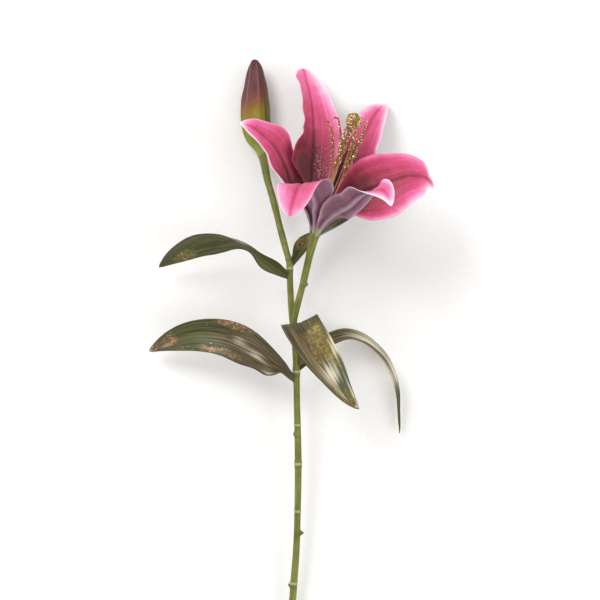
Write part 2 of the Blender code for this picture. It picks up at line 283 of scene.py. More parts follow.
def keep(piece, slot, *nodes):
    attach(piece, body)
    if nodes:
        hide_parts(*nodes)


# Small grains, flakes and bumps on a surface

def scatterTree(name, shape):
    tree = bpy.data.node_groups.new(name, "GeometryNodeTree")
    add = partial(addNode, tree)
    face = tree.interface
    face.new_socket("Geometry", in_out="INPUT", socket_type="NodeSocketGeometry")
    for title, kind in (("Per square metre", "Float"), ("Smallest", "Float"), ("Largest", "Float"),
                        ("Height", "Float"), ("Tumble", "Float"), ("Seed", "Int"), ("Finish", "Material")):
        face.new_socket(title, in_out="INPUT", socket_type="NodeSocket" + kind)
    face.new_socket("Geometry", in_out="OUTPUT", socket_type="NodeSocketGeometry")
    given = add("NodeGroupInput").outputs
    mask = add("GeometryNodeInputNamedAttribute", {"Name": "strewn"}, data_type="FLOAT")
    density = add("ShaderNodeMath", {0: given["Per square metre"], 1: mask}, operation="MULTIPLY")
    spots = add("GeometryNodeDistributePointsOnFaces", {"Mesh": given["Geometry"], "Density": density,
                                                        "Seed": given["Seed"]})
    if shape == "flake":  # a thin plate with five uneven corners
        grain = add("GeometryNodeMeshCylinder", {"Vertices": 5, "Radius": 1.0, "Depth": 0.16})
    elif shape == "papilla":
        grain = add("GeometryNodeMeshUVSphere", {"Segments": 8, "Rings": 6, "Radius": 1.0})
    else:
        grain = add("GeometryNodeMeshIcoSphere", {"Radius": 1.0, "Subdivisions": 1})
    size = add("FunctionNodeRandomValue", {"Min": given["Smallest"], "Max": given["Largest"],
                                           "Seed": given["Seed"]})
    stretch = add("FunctionNodeRandomValue", {"Min": (0.7, 0.7, 0.8), "Max": (1.4, 1.4, 1.2),
                                              "Seed": given["Seed"]}, data_type="FLOAT_VECTOR")
    tall = add("ShaderNodeCombineXYZ", {"X": 1.0, "Y": 1.0, "Z": given["Height"]})
    sized = add("ShaderNodeVectorMath", {0: stretch, 1: tall}, operation="MULTIPLY")
    scale = add("ShaderNodeVectorMath", {0: sized, "Scale": size}, operation="SCALE")
    lean = add("FunctionNodeRandomValue", {"Min": (-1, -1, -pi), "Max": (1, 1, pi), "Seed": given["Seed"]},
               data_type="FLOAT_VECTOR")
    some = add("ShaderNodeCombineXYZ", {"X": given["Tumble"], "Y": given["Tumble"], "Z": 1.0})
    tumble = add("ShaderNodeVectorMath", {0: lean, 1: some}, operation="MULTIPLY")
    turned = add("FunctionNodeRotateRotation", {"Rotation": spots.outputs["Rotation"],
                                                "Rotate By": tumble}, rotation_space="LOCAL")
    placed = add("GeometryNodeInstanceOnPoints", {"Points": spots, "Instance": grain, "Rotation": turned,
                                                  "Scale": scale})
    real = add("GeometryNodeRealizeInstances", {"Geometry": placed})
    smooth = add("GeometryNodeSetShadeSmooth", {"Geometry": real, "Shade Smooth": shape == "papilla"})
    coated = add("GeometryNodeSetMaterial", {"Geometry": smooth, "Material": given["Finish"]})
    add("NodeGroupOutput", {"Geometry": coated})
    return tree


def strew(name, hosts, shape, finish, sizes):
    # hosts: pairs of a grid of points in mm, its normal on the shown side, and a grid of shares to strew
    points, faces, mask = [], [], []
    for grid, share in hosts:
        rows, columns = grid.shape[:2]
        start = sum(len(part) for part in points)
        points.append(grid.reshape(-1, 3))
        faces += gridFaces(rows, columns, start)
        mask.append(np.ravel(share))
    host = makePiece(name + "Bed", np.concatenate(points), faces, [], values={"strewn": np.concatenate(mask)})
    tree = scatterTree(name + "Tree", shape)
    modifier = host.modifiers.new(name, "NODES")
    modifier.node_group = tree
    sockets = {item.name: item.identifier for item in tree.interface.items_tree if item.in_out == "INPUT"}
    modifier[sockets["Finish"]] = finish
    for title, value in sizes.items():
        modifier[sockets[title]] = value
    evaluated = host.evaluated_get(bpy.context.evaluated_depsgraph_get())
    mesh = bpy.data.meshes.new_from_object(evaluated)
    mesh.name = name
    host.modifiers.remove(modifier)
    bpy.data.objects.remove(host)
    print(" ", name, len(mesh.polygons), "faces")
    return newObject(name, mesh)


# Camera: straight at the open flower's side of the stem, from above

camera = {
    "lens": 100.0,
    "sensor": 36.0,
    "eye": (3.85, 13.86, 1283.3),  # mm, in the growing frame
    "farthest": 20.0,  # m
}
lens = bpy.data.cameras.new("camera")
lens.lens, lens.sensor_width, lens.clip_end = camera["lens"], camera["sensor"], camera["farthest"]
eye = newObject("camera", lens)
eye.matrix_world = Matrix.Translation(laid(camera["eye"])) @ Matrix(layTurn.tolist()).to_4x4()
bpy.context.scene.camera = eye

# Tepals

flower = {
    "base": np.array((15.3, 65.0, 13.0)),
    "axis": np.array((0.271, 0.887, 0.375)),
    "baseRise": 0.9,
    "innerRing": 3.6,
    "outerRing": 5.0,
    "stamenRing": 2.1,
    "throatRise": 14.0,
    "throatFlare": 2.1,
    "throatShare": (0.10, 0.34),  # of a tepal's length, over which it leaves the ring
    "footIn": 0.26,  # share of the way to the axis
    "footDown": 2.2,
}
flower["axis"] = flower["axis"] / np.linalg.norm(flower["axis"])
flower["right"] = np.cross(flower["axis"], (0.0, 0.0, 1.0))
flower["right"] /= np.linalg.norm(flower["right"])
flower["back"] = np.cross(flower["axis"], flower["right"])


def aroundAxis(azimuth, radius, rise):
    turned = np.radians(azimuth)
    side = (np.multiply.outer(np.cos(turned), flower["right"])
            + np.multiply.outer(np.sin(turned), flower["back"]))
    rise, radius = np.asarray(rise)[..., None], np.asarray(radius)[..., None]
    return flower["base"] + flower["axis"] * rise + side * radius


# t runs from 0 at the foot to 1 at the tip, u from -1 to 1 across; angles are degrees, lengths mm;
# margin: how wide and how pale the edge is, at the u = -1 and the u = 1 side;
# tone: how deep the pink is, 0 white to 1 maroon; lean: painted shade, deeper towards the u = 1 side; heart:
# deeper along the middle; fade: paler towards the tip; throat: the dark share of its length; ruffle: height,
# waves and start
tepalForm = {
    "roll": (0, 0, 0), "cup": (60, 50, 40, 30, 25, 20, 10), "keel": (0, 5, 10, 12, 10, 8, 0),
    "lean": 0.0, "heart": 0.0, "paleTip": 1.0, "nudges": (),
}
tepals = {
    "tepal_left": {
        "azimuth": 180, "ring": "outerRing",
        "spine": [(-1.5, 97.5, 19.5), (-6.5, 114, 17), (-14.5, 129.5, 17), (-25, 139.5, 20),
                  (-34, 145.5, 23), (-41.5, 147.5, 23)],
        "roll": (0, -5, -25, -48, -52, -46, -35),
        "halfWidth": (2.9, 7.2, 10.5, 13, 12, 9, 4),
        "bias": (0, 0.4, 0.2, 0.05, 0, 0),
        "keel": (0, 5, 12, 14, 12, 8, 0),
        "tip": 0.12, "tone": 0.62, "fade": 0.28, "margin": ((1.2, 0.35), (1.5, 1.0)), "throat": 0.44,
        "nudges": [(0.45, -1, 0.2, 0.5, (0.5, 2.5, -9)), (0.56, -1, 0.09, 0.5, (-4.5, 0, -3)),
                   (0.42, -1, 0.12, 0.5, (1, 0, -5)), (0.70, -1, 0.12, 0.5, (0.5, 3.2, 0)),
                   (0.29, -1, 0.07, 0.6, (4.5, 0, 0))],
        "ruffle": (0.5, 2.6, 0.1), "bumps": 0.12,
    },
    "tepal_back": {
        "azimuth": 120, "ring": "innerRing",
        "spine": [(13.5, 100.5, 7.5), (14, 125, -2), (14.5, 150, -13), (12.5, 170.5, -22),
                  (8, 185.5, -30), (4, 194, -38.5), (2.5, 191.5, -45)],
        "halfWidth": (2, 7, 14.5, 20.5, 17.5, 13.5, 9, 5),
        "bias": (0, -0.45, -0.2, 0.1, -0.25, -0.2, -0.1, 0),
        "cup": (60, 50, 45, 40, 35, 30, 20, 10),
        "tip": 0.15, "tone": 0.54, "lean": 0.13, "fade": 0.32, "margin": ((4.0, 0.5), (1.0, 0.4)),
        "throat": 0.47,
        "nudges": [(0.325, 1, 0.055, 0.5, (-6.5, 0, 7)), (0.47, 1, 0.05, 0.5, (4.2, 0, 2)),
                   (0.92, 0, 0.06, 3, (0.8, 2.6, 0)),
                   (0.93, 0, 0.05, 0.5, (0, 1.2, 0)), (0.94, 1, 0.05, 0.6, (1.2, -1.0, 2)),
                   (0.84, -1, 0.07, 0.8, (2.5, 0.5, 0)), (1.0, 0, 0.03, 3, (0, -2.5, 0)),
                   (0.88, 1, 0.035, 0.5, (-2.2, -1.0, 0)), (0.97, 0.6, 0.03, 1.0, (3.4, 0, 0))],
        "ruffle": (0.7, 3.2, 0.3), "bumps": 1.0,
    },
    "tepal_back_right": {
        "azimuth": 60, "ring": "outerRing",
        "spine": [(33.5, 103.5, -16), (43, 122, -23), (52, 139.5, -28), (61, 155.5, -34),
                  (67.5, 166.5, -42), (70, 171, -47)],
        "halfWidth": (2, 7, 14, 19, 19, 15, 10, 5),
        "bias": (0, -0.05, -0.2, -0.3, -0.28, -0.15, 0),
        "tip": 0.12, "tone": 0.62, "fade": 0.34, "margin": ((3.6, 0.8), (3.4, 0.6)), "throat": 0.54,
        "nudges": [(0.86, 1, 0.1, 0.8, (-2.4, 2.2, 0)), (0.95, -1, 0.05, 0.8, (1.5, 0.5, 0))],
        "ruffle": (0.8, 3.0, 0.6), "bumps": 0.3,
    },
    "tepal_right": {
        "azimuth": 0, "ring": "innerRing",
        "spine": [(41, 88, 20), (56.5, 97, 26), (73, 104, 30), (88, 108.5, 31),
                  (98, 107, 29), (105, 97.5, 24)],
        "roll": (0, 25, 50, 62, 62, 55, 50),
        "halfWidth": (2, 6.5, 18.5, 25.5, 21.5, 12, 3),
        "bias": (0, 0, -0.08, -0.1, -0.06, 0, 0),
        "cup": (60, 50, 35, 25, 20, 15, 10),
        "keel": (0, 5, 8, 8, 6, 5, 0),
        "tip": 0.08, "tone": 0.58, "lean": 0.05, "fade": 0.26, "margin": ((4.6, 0.7), (3.2, 0.45)),
        "throat": 0.46, "heart": 0.13,
        "nudges": [(0.92, 1, 0.05, 0.8, (-2.5, -2.5, 0)), (0.82, -1, 0.09, 0.8, (3.5, -6, 0)),
                   (0.62, -1, 0.12, 0.8, (2, -3, 0))],
        "ruffle": (0.8, 2.7, 0.0), "bumps": 0.15,
    },
    "tepal_front_left": {
        "azimuth": 240, "ring": "innerRing",
        "spine": [(15, 85, 44), (11, 94.5, 60), (6, 98, 74), (2.5, 95, 86),
                  (-1, 85, 94), (-3.5, 73.5, 99)],
        "roll": (0, 10, 25, 35, 35, 25, 10),
        "halfWidth": (2, 6.5, 14.5, 20.5, 19, 13.5, 11),
        "bias": (0, -0.05, -0.2, -0.12, 0, 0, 0),
        "cup": (60, 50, 30, 5, 5, 15, 20),
        "keel": (0, 5, 8, 4, 4, 5, 0),
        "tip": 0.17, "tone": 0.58, "lean": 0.08, "fade": 0.32, "margin": ((1.8, 0.35), (2.0, 0.4)),
        "throat": 0.35,
        "paleTip": 0.3, "heart": 0.08, "ruffle": (0.5, 2.2, 0.5), "bumps": 0.3,
    },
    "tepal_front_right": {
        "azimuth": 300, "ring": "outerRing",
        "spine": [(33.5, 79.5, 53.5), (41, 83, 66.5), (47.5, 89, 71), (55, 92, 80),
                  (63.5, 92.5, 88), (69, 81, 93)],
        "roll": (0, -3, -20, -45, -45, 0, 50, 60),
        "halfWidth": (2, 6.5, 10.4, 12.2, 12.7, 12, 9, 4),
        "bias": (0, 0, -0.06, -0.1, -0.06, 0, 0),
        "cup": (60, 25, 8, 15, 20, 20, 20),
        "keel": (0, 0, 3, 8, 6, 5, 0),
        "tip": 0.15, "tone": 0.54, "fade": 0.26, "margin": ((3.4, 1.0), (2.0, 0.8)), "throat": 0.35,
        "nudges": [(0.55, 1, 0.13, 0.6, (-2.2, 2.6, 0)), (0.58, -1, 0.12, 0.6, (0, -3.4, 0))],
        "ruffle": (0.4, 2.4, 0.8), "bumps": 0.3,
    },
}
tepalMesh = {"rows": 121, "columns": 49, "rim": 0.28, "middle": 0.95}  # rim and middle: thickness, mm


def bladeGrid(shape, spine, outward, rows, columns):
    # rows of points across a blade; halfWidth is measured flat, cup and keel bend it inwards
    t = np.sin(np.linspace(0, pi / 2, rows))
    path = alongPath(spine, t)
    tangents, normals = carriedNormals(path, outward)
    across = np.cross(tangents, normals)
    roll = np.radians(alongValues(shape["roll"], t))[:, None]
    outer = normals * np.cos(roll) + across * np.sin(roll)
    across = np.cross(tangents, outer)
    tip = np.clip((t - 1 + shape["tip"]) / shape["tip"], 0, 1)
    width = alongValues(shape["halfWidth"], t) * np.sqrt(np.clip(1 - tip**2, 0, 1))
    width = np.maximum(width, 0.35)[:, None]
    cup = np.radians(alongValues(shape["cup"], t))[:, None]
    keel = np.radians(alongValues(shape["keel"], t))[:, None]
    u = np.linspace(-1, 1, columns)[None, :]
    bias = alongValues(shape.get("bias", (0, 0, 0)), t)[:, None]
    reach = width * (1 + np.sign(u) * bias)
    sideways = reach * np.sin(u * cup) / cup
    inwards = reach * (1 - np.cos(u * cup)) / cup + width * (np.sqrt(u * u + 0.004) - 0.063) * np.tan(keel)
    grid = path[:, None] + across[:, None] * sideways[..., None] - outer[:, None] * inwards[..., None]
    return grid, t, u, reach


def tepalGrid(tepal, rows, columns):
    azimuth, ring = tepal["azimuth"], flower[tepal["ring"]]
    throat = [aroundAxis(azimuth, ring, flower["baseRise"]),
              aroundAxis(azimuth, ring * flower["throatFlare"], flower["throatRise"])]
    outward = aroundAxis(azimuth, 1.0, 0.0) - flower["base"]
    grid, t, u, reach = bladeGrid(tepal, throat + list(tepal["spine"]), outward, rows, columns)
    centre = grid[:, columns // 2] - flower["base"]
    rise = centre @ flower["axis"]
    radius = np.linalg.norm(centre - rise[:, None] * flower["axis"], axis=1)
    halfWidth = alongValues(tepal["halfWidth"], t)
    angles = azimuth + np.degrees(u * (halfWidth / radius)[:, None])
    strip = aroundAxis(angles, np.broadcast_to(radius[:, None], angles.shape), rise[:, None] + 0 * angles)
    free = smoothStep(*flower["throatShare"], t)[:, None, None]
    return strip * (1 - free) + grid * free, t, u, reach


def tepalInside():
    # Lily tepal, inner side: soft satin skin, deep pink along the middle, almost white at the margin
    made, add, shader, place, tone, speckled = startMaterial("satinTepalInside", {
        "Roughness": 0.5, "Specular IOR Level": 0.3, "Sheen Weight": 0.05, "Sheen Roughness": 0.4,
        "Sheen Tint": hexColour("#ffd6e6"), "Subsurface Weight": 0.08, "Subsurface Scale": 0.002,
        "Subsurface Radius": (1.0, 0.45, 0.55)}, "tone", "speckled")
    # veins run along the tepal, about 1 mm apart; the colour is cloudy, 8 mm, with freckles 1 to 2 mm across
    veins, clouds = veinsAndClouds(add, place, (34, 2.2), 8, (3.0, 4.0))
    cells = add("ShaderNodeTexVoronoi", {"Vector": place["Object"], "Scale": 1 / (2.6 * mm)})
    freckle = add("ShaderNodeMapRange", {"Value": cells, "From Min": 0.34, "From Max": 0.16, "To Min": 0.0,
                                         "To Max": 0.09})
    freckled = add("ShaderNodeMath", {0: freckle, 1: speckled}, operation="MULTIPLY")
    uneven = mottle(add, veins, clouds, (0.36, 0.30))
    fade = add("ShaderNodeMapRange", {"Value": tone, "From Min": 0.0, "From Max": 0.4, "To Min": 0.25,
                                      "To Max": 1.0})
    level = add("ShaderNodeMath", {0: uneven, 1: fade, 2: tone}, operation="MULTIPLY_ADD")
    deep = add("ShaderNodeMath", {0: level, 1: freckled}, operation="ADD")
    colour = add("ShaderNodeValToRGB", {"Fac": deep}, stops=(
        (0.0, "#f9e0ea"), (0.12, "#f1a9c9"), (0.27, "#df6f9f"), (0.42, "#cd4f7a"), (0.56, "#b64061"),
        (0.70, "#98364a"), (0.84, "#6d2a33"), (1.0, "#4a1f27")))
    skin = add("ShaderNodeTexNoise", {"Vector": place["Object"], "Scale": 1 / (0.8 * mm), "Detail": 2.0})
    height = add("ShaderNodeMath", {0: veins, 1: skin}, operation="ADD")
    bump = add("ShaderNodeBump", {"Height": height, "Strength": 0.35, "Distance": 0.25 * mm})
    setInputs(shader, {"Base Color": colour, "Normal": bump})
    return made


def tepalOutside():
    # Lily tepal, outer side: a paler, greyer skin, mauve with a wine flush beside a light green-white midrib
    made, add, shader, place, tone, green = startMaterial("satinTepalOutside", {
        "Roughness": 0.5, "Specular IOR Level": 0.35, "Sheen Weight": 0.08, "Sheen Roughness": 0.4,
        "Subsurface Weight": 0.06, "Subsurface Scale": 0.002, "Subsurface Radius": (1.0, 0.5, 0.6)},
        "outerTone", "greenFoot")
    veins, clouds = veinsAndClouds(add, place, (26, 1.8), 9, (3.0, 2.0))
    level = add("ShaderNodeMath", {0: mottle(add, veins, clouds, (0.34, 0.30)), 1: tone}, operation="ADD")
    colour = add("ShaderNodeValToRGB", {"Fac": level}, stops=(
        (0.0, "#d3b3c2"), (0.22, "#a98c9b"), (0.42, "#90707f"), (0.58, "#845468"), (0.78, "#67334a"),
        (1.0, "#48202f")))
    mixed = add("ShaderNodeMix", {"Factor": green, "A": colour, "B": hexColour("#9aa077")},
                data_type="RGBA")
    bump = add("ShaderNodeBump", {"Height": veins, "Strength": 0.4, "Distance": 0.3 * mm})
    setInputs(shader, {"Base Color": mixed, "Normal": bump})
    return made


def papillaFlesh():
    # Papillae: the fleshy bumps in a lily's throat, pale pink with a waxy shine
    made, add, shader, place = startMaterial("waxyPapillae", {
        "Roughness": 0.4, "Subsurface Weight": 0.1, "Subsurface Scale": 0.001})
    spots = add("ShaderNodeTexNoise", {"Vector": place["Object"], "Scale": 1 / (3 * mm)})
    colour = add("ShaderNodeValToRGB", {"Fac": spots}, stops=((0.35, "#95465a"), (0.6, "#b96f80")))
    setInputs(shader, {"Base Color": colour})
    return made


tepalSkins = [tepalInside(), tepalOutside()]
bumpBeds = []
for name, look in tepals.items():
    tepal = {**tepalForm, **look}
    grid, t, u, reach = tepalGrid(tepal, tepalMesh["rows"], tepalMesh["columns"])
    t = t[:, None]
    x = u * reach  # mm from the midrib
    # the foot runs on down and in, into the receptacle
    outward = grid - flower["base"]
    outward = outward - (outward @ flower["axis"])[..., None] * flower["axis"]
    grid = grid - outward * flower["footIn"] * (1 - smoothStep(0.0, 0.09, t))[..., None]
    grid += (flower["axis"] * -flower["footDown"])[None, None] * (1 - smoothStep(0.0, 0.06, t))[..., None]
    normal = surfaceNormal(grid)
    grid = nudged(grid, t, u, tepal["nudges"])
    size, waves, start = tepal["ruffle"]
    free = smoothStep(0.25, 0.5, t) * (1 - 0.7 * smoothStep(0.9, 1.0, t))
    side = np.sign(u)
    wave = (np.sin(2 * pi * (waves * t + start + 0.23 * side))
            + 0.5 * np.sin(2 * pi * (2.3 * waves * t + start * 3)))
    grid = grid + normal * (size * wave * np.abs(u) ** 2.5 * free)[..., None]
    # furrow and ribs along the middle, then finer veins to the sides
    ribbed = band(0.02, 0.2, 0.85, 0.99, t)
    furrow = -0.6 * bell(x, 1.3) + 0.35 * bell(np.abs(x) - 3.2, 1.4)
    keelRib = 0.9 * bell(x, 1.5) - 0.3 * bell(np.abs(x) - 3.4, 1.2)
    veins = 0.07 * np.cos(2 * pi * u * 9) * (1 - np.abs(u) ** 4)
    wall = (tepalMesh["rim"]
            + (tepalMesh["middle"] - tepalMesh["rim"]) * (1 - np.abs(u) ** 1.6) * (1 - 0.5 * t))
    inside = wall / 2 + (furrow + veins) * ribbed
    outside = wall / 2 + (keelRib + veins) * ribbed
    edge = (1 - np.abs(u)) * reach
    (wideLow, paleLow), (wideHigh, paleHigh) = tepal["margin"]
    pale = np.where(u < 0, paleLow * bell(edge, wideLow), paleHigh * bell(edge, wideHigh))
    pale = np.maximum(pale * smoothStep(0.15, 0.4, t), tepal["paleTip"] * bell(1 - t, 0.053))
    throat = 1 - smoothStep(tepal["throat"] - 0.18, tepal["throat"] + 0.16, t)
    # lean is painted shade: one half of the tepal is made deeper, towards u = 1
    tone = tepal["tone"] + tepal["lean"] * u + 0.18 * bell(x, 1.2) + 0.40 * throat * (1 - 0.3 * np.abs(u))
    tone = tone + tepal["heart"] * bell(u, 0.4)
    tone = tone - tepal["fade"] * smoothStep(0.5, 0.98, t) - 0.12 * u**2
    tone = tone * (1 - pale)
    outerTone = (0.52 + 0.12 * bell(np.abs(u) - 0.5, 0.2) - 0.26 * bell(x, 1.3)
                 + 0.18 * bell(np.abs(x) - 3.2, 1.6) - 0.35 * bell(edge, 1.5)
                 - 0.4 * smoothStep(0.75, 1.0, t))
    greenFoot = 0.9 * (1 - smoothStep(0.01, 0.08, t)) + 0 * u
    values = {"tone": np.clip(tone, 0, 1), "outerTone": np.clip(outerTone, 0, 1), "greenFoot": greenFoot,
              "speckled": band(0.2, 0.35, 0.5, 0.72, t) * (1 - np.abs(u) ** 3)}
    keep(closedSheet(name + "_skin", grid, inside, outside, tepalSkins, values, t, u), "tepal", name)
    bumpy = band(0.24, 0.3, 0.42, 0.52, t) * bell(u + 0.35, 0.22)
    bumpBeds.append((grid + normal * inside[..., None], bumpy * tepal["bumps"]))

papillae = {
    "Per square metre": 4.5e5, "Smallest": 0.3 * mm, "Largest": 0.85 * mm, "Height": 0.7, "Tumble": 0.3,
    "Seed": 4,
}
keep(strew("throatPapillae", bumpBeds, "papilla", papillaFlesh(), papillae), "tepal")
print("cut lily: tepals")

# Leaves

# brown and foil, and the painted highlight streaks: patches, each a share along, u, the reach of both, and an
# amount;
# copper: the colour of the foil, 0 gold to 1 copper; foot: where the blade joins the stem
leafForm = {
    "outward": (0, 0, -1), "cup": (30, 25, 20, 20, 20, 15), "keel": (20, 15, 10, 8, 8, 5), "tip": 0.03,
    "nudges": (),
}
leaves = {
    "leaf_lower_left": {
        "spine": [(-2.5, -47, 1), (-8.5, -40, 4), (-17.5, -33, 6), (-34.5, -23, 8),
                  (-53.5, -15, 7), (-73, -13, 3), (-93, -17, -5), (-113.5, -26, -14)],
        "roll": (0, 0, 0, 0, 0, 0),
        "halfWidth": (1.5, 8, 14, 14, 12, 8, 1),
        "foot": (1.0, -49, 0),
        "nudges": [(0.17, 1, 0.06, 0.8, (0, -4, 0)), (0.07, 1, 0.03, 0.8, (0, 2, 0))],
        "ruffle": (0.7, 2.2, 0.0), "copper": 0.75,
        "brown": [(0.5, 0, 3, 5, 0.28), (0.24, 0.2, 0.28, 1.5, 0.55), (0.93, 0, 0.1, 1.5, 0.3)],
        "foil": [(0.55, 0.75, 0.22, 0.3, 0.8), (0.45, -0.85, 0.14, 0.3, 0.9), (0.84, -0.2, 0.06, 0.7, 1.0),
                 (0.97, 0, 0.05, 1, 1.0)],
        "paintedHighlight": [(0.27, 0.25, 0.09, 0.4, 0.8), (0.16, 0.8, 0.06, 0.4, 0.75),
                  (0.40, -0.15, 0.06, 0.5, 0.6), (0.88, 0.2, 0.05, 0.6, 0.6),
                  (0.5, 0.9, 0.15, 0.2, 0.5), (0.99, 0, 0.02, 1, 0.8)],
    },
    "leaf_upper_left": {
        "spine": [(-7.5, 33, 0), (-14, 38.5, 3), (-22, 44.5, 6), (-34.5, 54.5, 8),
                  (-50, 60.5, 7), (-69, 59.5, 2), (-89, 51, -7), (-106, 39.5, -17)],
        "roll": (0, -38, -78, -60, -50, -50, -50),
        "halfWidth": (1.5, 6.8, 5.2, 11.5, 13.5, 11, 7, 1),
        "foot": (-4.0, 31, -1),
        "ruffle": (0.6, 2.0, 0.3), "copper": 0.2,
        "brown": [(0.5, 0, 3, 5, 0.22), (0.42, -0.3, 0.12, 1.0, 0.4), (0.75, -0.8, 0.2, 0.3, 0.3)],
        "foil": [(0.8, 0.4, 0.12, 0.8, 0.7), (0.45, -0.4, 0.1, 0.6, 0.6)],
        "paintedHighlight": [(0.36, -0.5, 0.07, 0.4, 0.8), (0.5, 0.6, 0.12, 0.3, 0.4)],
    },
    "leaf_upper_right": {
        "spine": [(-0.5, 43, -2), (2.5, 49.5, -6), (7.5, 56.5, -10), (19.5, 65, -14),
                  (33.5, 72.5, -18), (44.5, 79.5, -22), (54, 87, -25)],
        "roll": (0, -20, -50, -60, -55, -55, -45),
        "halfWidth": (1.5, 6, 8, 9, 8, 6, 1),
        "foot": (-3.8, 39, -1),
        "ruffle": (0.5, 2.0, 0.6), "copper": 0.1,
        "brown": [(0.5, 0, 3, 5, 0.25), (0.65, 0.6, 0.2, 0.5, 0.35)],
        "foil": [(0.25, 0.2, 0.14, 0.8, 1.0), (0.7, 0.5, 0.2, 0.5, 0.7)],
        "paintedHighlight": [(0.75, 0.7, 0.2, 0.3, 0.5), (0.35, 0.8, 0.1, 0.3, 0.5)],
    },
    "leaf_front": {
        "spine": [(5, -35.5, 2), (8.5, -26, 9), (9, -15, 20), (6, -7, 33),
                  (4, -3, 45), (7.5, -8, 56), (15.5, -20, 61), (25, -36, 61),
                  (35.5, -53, 55), (47.5, -67, 46)],
        "outward": (0, -0.3, 1),
        "roll": (0, 5, 15, 20, 20, 10, 0, 0),
        "halfWidth": (1.5, 6, 12, 14, 14.5, 14.5, 12, 7.5, 1),
        "bias": (0, 0, 0, 0, -0.08, -0.14, -0.1, -0.05, 0),
        "cup": (30, 25, 10, 10, 20, 15),
        "keel": (20, 15, 5, 8, 8, 5),
        "foot": (1.2, -38.5, 0),
        "ruffle": (0.4, 2.0, 0.2), "copper": 0.08,
        "brown": [(0.5, 0, 3, 5, 0.25), (0.56, -0.5, 0.16, 1.2, 0.6), (0.1, 0, 0.12, 3, -0.4)],
        "foil": [(0.60, 0.35, 0.17, 0.85, 1.0), (0.94, 0, 0.08, 2, 0.8), (0.82, -0.6, 0.06, 0.4, 0.7)],
        "paintedHighlight": [(0.75, -0.1, 0.09, 0.8, 1.0), (0.64, 0.75, 0.06, 0.3, 0.7),
                  (0.88, -0.4, 0.06, 0.2, 0.7), (0.90, 0.8, 0.1, 0.2, 0.8),
                  (0.98, 0, 0.02, 1, 0.9), (0.6, 1, 0.1, 0.15, 0.8)],
    },
    "leaf_lower_right": {
        "spine": [(5, -38.5, -3), (12.5, -29.5, -5), (21, -22.5, -8), (30.5, -18, -11),
                  (41, -15.5, -13), (52, -18, -15), (61.5, -24.5, -16), (69.5, -33, -17),
                  (75.5, -44.5, -17.5), (79.5, -58, -17.5), (81, -73.5, -17.5), (81.5, -90, -18)],
        "roll": (0, -30, -50, -60, -60, -60, -70, -80),
        "halfWidth": (1.5, 6, 9, 10, 9, 7, 4, 1),
        "foot": (1.3, -41, -1),
        "ruffle": (0.3, 2.0, 0.2), "copper": 0.1,
        "brown": [(0.5, 0, 3, 5, 0.6), (0.82, 0, 0.12, 3, -0.4)],
        "foil": [(0.2, 0.3, 0.06, 0.6, 0.6)],
        "paintedHighlight": [(0.45, 0.4, 0.18, 0.9, 0.95), (0.68, 0, 0.1, 1.5, 1.0)],
    },
}
leafMesh = {"rows": 161, "columns": 33, "rim": 0.3, "middle": 0.95}


